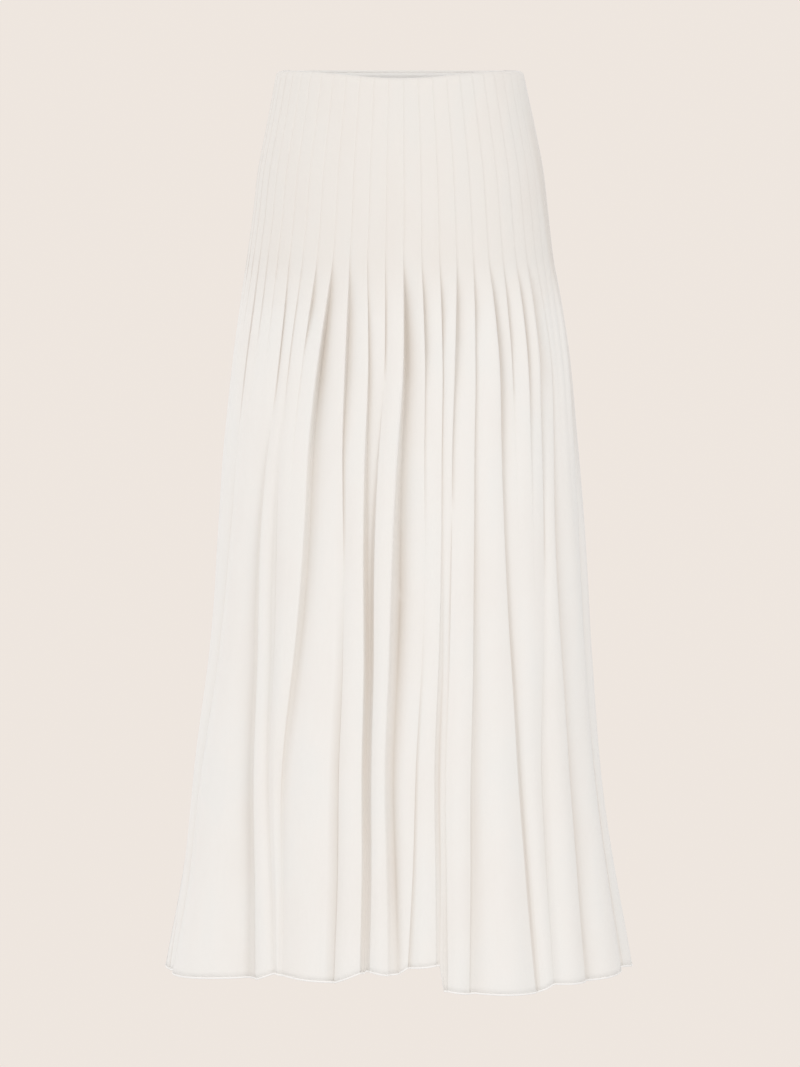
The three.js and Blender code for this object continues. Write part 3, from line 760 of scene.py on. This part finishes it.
hem_rows = {}
for piece_name, (first_pleat, pleat_count, node) in panel_cuts.items():
    hem_rows[piece_name] = panel_rows(first_pleat, pleat_count)[0][-1]
    hem_name = piece_name.replace("panel", "hem")
    hem = add_piece(hem_name, roll_mesh(hem_name, hem_rows[piece_name]), roll_cloth_painted_lighter)
    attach(hem, "skirt")

cut_sizes = {"front_panel": (0.84, 0.96, 0.63), "back_panel": (0.715, 0.97, 0.53)}
for piece_name, (width, length, area) in cut_sizes.items():
    hem_name = piece_name.replace("panel", "hem")

# Hem stitching. One row of lockstitch in matching cotton thread, sewn just above the roll. The same
# way of laying thread along a line is used for the facing and the zip.
HEM_STITCH = {"above": 2.5, "out": 0.02, "pitch": 2.6, "length": 2.1, "thread": 0.34}

thread_material = bpy.data.materials.new("cotton_thread_painted_lighter")
thread_material.use_nodes = True
thread_shader = thread_material.node_tree.nodes["Principled BSDF"]
# The thread is lighter than the muslin: painted light, so that the stitch rows don't read as a dark line.
thread_shader.inputs["Base Color"].default_value = (0.90, 0.88, 0.85, 1.0)
thread_shader.inputs["Roughness"].default_value = 0.72
thread_shader.inputs["Specular IOR Level"].default_value = 0.3


def stitch_tree():
    """Threads laid along lines of edges, whose attribute "out" is the way out of the cloth."""
    tree = bpy.data.node_groups.new("threads_along_lines", "GeometryNodeTree")
    add_socket(tree, "Lines", "INPUT", "NodeSocketGeometry")
    add_socket(tree, "Pitch", "INPUT", "NodeSocketFloat", 0.0026)
    add_socket(tree, "Length", "INPUT", "NodeSocketFloat", 0.0021)
    add_socket(tree, "Thread", "INPUT", "NodeSocketFloat", 0.0004)
    add_socket(tree, "Slant", "INPUT", "NodeSocketFloat", 0.0)
    add_socket(tree, "Wander", "INPUT", "NodeSocketFloat", 0.05)
    add_socket(tree, "Seed", "INPUT", "NodeSocketInt", 1)
    add_socket(tree, "Material", "INPUT", "NodeSocketMaterial")
    add_socket(tree, "Threads", "OUTPUT", "NodeSocketGeometry")
    begin = tree.nodes.new("NodeGroupInput")
    end = tree.nodes.new("NodeGroupOutput")
    line = tree.nodes.new("GeometryNodeMeshToCurve")
    tree.links.new(begin.outputs["Lines"], line.inputs["Mesh"])
    spaced = tree.nodes.new("GeometryNodeResampleCurve")
    spaced.mode = "LENGTH"
    tree.links.new(line.outputs["Curve"], spaced.inputs["Curve"])
    tree.links.new(begin.outputs["Pitch"], spaced.inputs["Length"])
    tangent = tree.nodes.new("GeometryNodeInputTangent")
    way_out = tree.nodes.new("GeometryNodeInputNamedAttribute")
    way_out.data_type = "FLOAT_VECTOR"
    way_out.inputs["Name"].default_value = "out"
    along_line = tree.nodes.new("FunctionNodeAlignRotationToVector")
    along_line.axis = "Z"
    tree.links.new(tangent.outputs["Tangent"], along_line.inputs["Vector"])
    on_cloth = tree.nodes.new("FunctionNodeAlignRotationToVector")
    on_cloth.axis = "X"
    on_cloth.pivot_axis = "Z"
    tree.links.new(along_line.outputs["Rotation"], on_cloth.inputs["Rotation"])
    tree.links.new(way_out.outputs["Attribute"], on_cloth.inputs["Vector"])
    chance = tree.nodes.new("FunctionNodeRandomValue")
    chance.data_type = "FLOAT"
    chance.inputs[2].default_value = -1.0
    chance.inputs[3].default_value = 1.0
    tree.links.new(begin.outputs["Seed"], chance.inputs["Seed"])
    wander = maths(tree, "MULTIPLY", chance.outputs[1], begin.outputs["Wander"])
    turn = tree.nodes.new("ShaderNodeCombineXYZ")
    tree.links.new(maths(tree, "ADD", begin.outputs["Slant"], wander), turn.inputs["X"])
    rotation = tree.nodes.new("FunctionNodeEulerToRotation")
    tree.links.new(turn.outputs["Vector"], rotation.inputs["Euler"])
    slanted = tree.nodes.new("FunctionNodeRotateRotation")
    slanted.rotation_space = "LOCAL"
    tree.links.new(on_cloth.outputs["Rotation"], slanted.inputs["Rotation"])
    tree.links.new(rotation.outputs["Rotation"], slanted.inputs["Rotate By"])
    bead = tree.nodes.new("GeometryNodeMeshUVSphere")
    bead.inputs["Segments"].default_value = 6
    bead.inputs["Rings"].default_value = 4
    bead.inputs["Radius"].default_value = 0.5
    sides = tree.nodes.new("ShaderNodeCombineXYZ")
    tree.links.new(begin.outputs["Thread"], sides.inputs["X"])
    tree.links.new(begin.outputs["Thread"], sides.inputs["Y"])
    tree.links.new(begin.outputs["Length"], sides.inputs["Z"])
    stitch = tree.nodes.new("GeometryNodeTransform")
    tree.links.new(bead.outputs["Mesh"], stitch.inputs["Geometry"])
    tree.links.new(sides.outputs["Vector"], stitch.inputs["Scale"])
    placed = tree.nodes.new("GeometryNodeInstanceOnPoints")
    tree.links.new(spaced.outputs["Curve"], placed.inputs["Points"])
    tree.links.new(stitch.outputs["Geometry"], placed.inputs["Instance"])
    tree.links.new(slanted.outputs["Rotation"], placed.inputs["Rotation"])
    real = tree.nodes.new("GeometryNodeRealizeInstances")
    tree.links.new(placed.outputs["Instances"], real.inputs["Geometry"])
    painted = tree.nodes.new("GeometryNodeSetMaterial")
    tree.links.new(real.outputs["Geometry"], painted.inputs["Geometry"])
    tree.links.new(begin.outputs["Material"], painted.inputs["Material"])
    tree.links.new(painted.outputs["Geometry"], end.inputs["Threads"])
    return tree


threads_along_lines = stitch_tree()


def lay_threads(name, lines, values):
    """One plain mesh of threads along lines, each line its points in millimetres and ways out."""
    points = np.concatenate([line for line, way in lines])
    ways = np.concatenate([way for line, way in lines])
    edges = []
    first = 0
    for line, way in lines:
        edges += [(first + i, first + i + 1) for i in range(len(line) - 1)]
        first += len(line)
    mesh = bpy.data.meshes.new(name + "_lines")
    mesh.from_pydata((points * MM).tolist(), edges, [])
    way_out = mesh.attributes.new("out", "FLOAT_VECTOR", "POINT")
    way_out.data.foreach_set("vector", ways.ravel())
    guide = bpy.data.objects.new(name + "_lines", mesh)
    bpy.context.scene.collection.objects.link(guide)
    laid = guide.modifiers.new("threads", "NODES")
    laid.node_group = threads_along_lines
    for socket in threads_along_lines.interface.items_tree:
        if socket.in_out == "INPUT" and socket.name in values:
            laid[socket.identifier] = values[socket.name]
    now = bpy.context.evaluated_depsgraph_get()
    plain = bpy.data.meshes.new_from_object(guide.evaluated_get(now))
    plain.name = name
    bpy.data.objects.remove(guide)
    bpy.data.meshes.remove(mesh)
    plain.shade_smooth()
    return plain


def sewn_row(name, lines, pitch, length, thread, slant=0.0, wander=0.05, seed=1, material=thread_material):
    """A piece of sewing that goes with the skirt; its sizes are millimetres and radians."""
    values = {"Pitch": pitch * MM, "Length": length * MM, "Thread": thread * MM, "Slant": slant}
    values.update({"Wander": wander, "Seed": seed, "Material": material})
    row = add_piece(name, lay_threads(name, lines, values), material)
    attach(row, "skirt")
    return row


hem_lines = []
for piece_name, (first_pleat, pleat_count, node) in panel_cuts.items():
    above_hem = panel_rows(first_pleat, pleat_count)[0][-2]
    row = hem_rows[piece_name]
    share = HEM_STITCH["above"] / np.linalg.norm(above_hem - row, axis=1)[:, None]
    line = row + (above_hem - row) * share
    way = square_ways(line)
    line[:, :2] += way * HEM_STITCH["out"]
    hem_lines.append((line, np.column_stack([way, np.zeros(len(way))])))
sewn_row("hem_stitches", hem_lines, HEM_STITCH["pitch"], HEM_STITCH["length"], HEM_STITCH["thread"], seed=3)

# Waist facing. A plain strip of the same muslin, stiffened with a fused lining and pressed. It is
# sewn round the top edge, turned inside and understitched, and its lower edge is overlocked. It
# is in two pieces, which stop on both sides of the zip.
FACING = {
    "levels": [(-2.6, 7.0), (-5, 7.8), (-8, 8.4), (-12, 8.6), (-18, 8.2), (-26, 7.2), (-34, 6.5)],
    "thick": 0.45,
    "every": 1.6,
    # Its colour is lighter than the muslin's: painted light, which brightens the shaded inside of the
    # waist.
    "colour": (0.905, 0.888, 0.862, 1.0),
}
UNDERSTITCH = {"z": -5.4, "behind": 8.35, "pitch": 2.5, "length": 2.0, "thread": 0.36}
OVERLOCK = {"z": -33.0, "behind": 7.15, "pitch": 1.7, "length": 3.6, "thread": 0.42, "slant": 0.95}
THREAD_ROOM = 0.1
LEFT_SEAM = -101.8
SEAM_ROOM = 0.1
ZIP_ROOM = 2.0
BEHIND_AT_ZIP = 4.2
DRAWN_WITHIN = 6


def inside_places(angles, levels):
    """Rows of points inside the cloth, each at a height and a distance behind its middle line."""
    rows = []
    for z, behind in levels:
        place, way, _ = middle_line(angles, z)
        place = place - way * (behind + zip_hollow(angles, z))[:, None]
        rows.append(np.column_stack([place, z - waist_dip(angles, z)]))
    return np.array(rows)


def drawn_to_zip(angles, behind, extra=0.0):
    """The distance behind the cloth, less towards the zip, where the facing is sewn to the tape."""
    away = np.clip((np.abs(angles - RIGHT_SEAM) - ZIP_ROOM) / DRAWN_WITHIN, 0, 1)
    at_zip = BEHIND_AT_ZIP + extra
    return at_zip + (behind - at_zip) * np.sin(away * math.pi / 2)


def inside_line(angles, z, behind):
    """A line round the inside, with its ways out of the cloth, which point inwards."""
    way = middle_line(angles, z)[1]
    line = inside_places(angles, [(z, behind)])[0]
    return line, np.column_stack([-way, np.zeros(len(way))])


facing_cloth_painted_lighter = cloth_material("facing_painted_lighter", *[FACING["colour"]] * 3, 0.2, 0.4)
facing_cuts = {
    "front_facing": (LEFT_SEAM + SEAM_ROOM, RIGHT_SEAM - ZIP_ROOM, "facing_front"),
    "back_facing": (RIGHT_SEAM + ZIP_ROOM, LEFT_SEAM + 360 - SEAM_ROOM, "facing_back"),
}
understitch_lines = []
overlock_lines = []
for piece_name, (start, stop, node) in facing_cuts.items():
    angles = np.linspace(start, stop, int((stop - start) / FACING["every"]))
    places = inside_places(angles, [(z, drawn_to_zip(angles, behind)) for z, behind in FACING["levels"]])
    facing = thicken(add_piece(piece_name, grid_mesh(piece_name, places), facing_cloth_painted_lighter), FACING["thick"])
    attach(facing, "skirt")
    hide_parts(node)
    length = float(np.linalg.norm(np.diff(places[3], axis=0), axis=1).sum()) * MM
    for lines, sewing in ((understitch_lines, UNDERSTITCH), (overlock_lines, OVERLOCK)):
        behind = drawn_to_zip(angles, sewing["behind"], FACING["thick"] + THREAD_ROOM)
        lines.append(inside_line(angles, sewing["z"], behind))
sewn_row("facing_understitch", understitch_lines, UNDERSTITCH["pitch"], UNDERSTITCH["length"],
         UNDERSTITCH["thread"], seed=5)
sewn_row("facing_overlock", overlock_lines, OVERLOCK["pitch"], OVERLOCK["length"], OVERLOCK["thread"],
         slant=OVERLOCK["slant"], seed=7)

# Concealed zip. Two woven tapes are sewn to the seam allowances inside the right side seam, and a
# nylon coil joins them. It is shown done up, with its slider at the top of the seam.
ZIP_TAPE = {"top": -9.0, "low": -185.0, "rows": 24, "width": 4.4, "gap": 0.15, "behind": 3.3, "thick": 0.45}
ZIP_COIL = {"behind": 4.0, "pitch": 0.78, "length": 2.3, "thread": 0.62}
ZIP_SEWING = {"in": 1.1, "behind": 3.82, "pitch": 2.6, "length": 2.1, "thread": 0.36}
TAPE_COLOUR = (0.858, 0.836, 0.8, 1.0)

tape_cloth = cloth_material("zip_tape_weave", *[TAPE_COLOUR] * 3, 0.15, 0.6)
coil_nylon = bpy.data.materials.new("coil_nylon")
coil_nylon.use_nodes = True
coil_shader = coil_nylon.node_tree.nodes["Principled BSDF"]
coil_shader.inputs["Base Color"].default_value = (0.80, 0.775, 0.735, 1.0)
coil_shader.inputs["Roughness"].default_value = 0.38

tape_heights = np.linspace(ZIP_TAPE["top"], ZIP_TAPE["low"], ZIP_TAPE["rows"])


def zip_line(aside, behind):
    """A line down the zip, a little to one side of its middle."""
    points = []
    ways = []
    for z in tape_heights:
        pace = middle_line(np.array([RIGHT_SEAM]), z)[2]
        line, way = inside_line(np.array([RIGHT_SEAM]) + aside / pace, z, behind)
        points.append(line[0])
        ways.append(way[0])
    return np.array(points), np.array(ways)


tape_sewing = []
for side, piece_name in ((-1, "zip_tape_front"), (1, "zip_tape_back")):
    edges = np.sort(side * np.array([ZIP_TAPE["gap"], ZIP_TAPE["width"] / 2, ZIP_TAPE["width"]]))
    places = np.stack([zip_line(aside, ZIP_TAPE["behind"])[0] for aside in edges], 1)
    tape = thicken(add_piece(piece_name, grid_mesh(piece_name, places), tape_cloth), ZIP_TAPE["thick"])
    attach(tape, "skirt")
    tape_sewing.append(zip_line(side * (ZIP_TAPE["width"] - ZIP_SEWING["in"]), ZIP_SEWING["behind"]))
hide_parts("zip_tape")
coil = sewn_row("zip_coil", [zip_line(0, ZIP_COIL["behind"])], ZIP_COIL["pitch"], ZIP_COIL["length"],
                ZIP_COIL["thread"], slant=math.pi / 2, wander=0.0, material=coil_nylon)
sewn_row("zip_sewing", tape_sewing, ZIP_SEWING["pitch"], ZIP_SEWING["length"], ZIP_SEWING["thread"], seed=9)

# Zip slider and pull tab. Small die-cast parts in satin nickel; the tab hangs on the slider's lug.
# Both keep the solids that they were built as.
NICKEL = {"colour": (0.66, 0.64, 0.61, 1.0), "smoothest": 0.26, "roughest": 0.40}
GRAIN_PER_METRE = 900.0
satin_nickel = bpy.data.materials.new("satin_nickel")
satin_nickel.use_nodes = True
nickel_tree = satin_nickel.node_tree
nickel_shader = nickel_tree.nodes["Principled BSDF"]
nickel_shader.inputs["Base Color"].default_value = NICKEL["colour"]
nickel_shader.inputs["Metallic"].default_value = 1.0
nickel_place = nickel_tree.nodes.new("ShaderNodeTexCoord").outputs["Object"]
grain = stretched_noise(nickel_tree, nickel_place, GRAIN_PER_METRE, GRAIN_PER_METRE, 2.0)
grain = maths(nickel_tree, "MULTIPLY", grain, NICKEL["roughest"] - NICKEL["smoothest"])
nickel_rough = maths(nickel_tree, "ADD", grain, NICKEL["smoothest"])
nickel_tree.links.new(nickel_rough, nickel_shader.inputs["Roughness"])
for node_name in ("zip_slider", "zip_pull"):
    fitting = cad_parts[node_name]
    for material_slot in fitting.material_slots:
        material_slot.material = satin_nickel
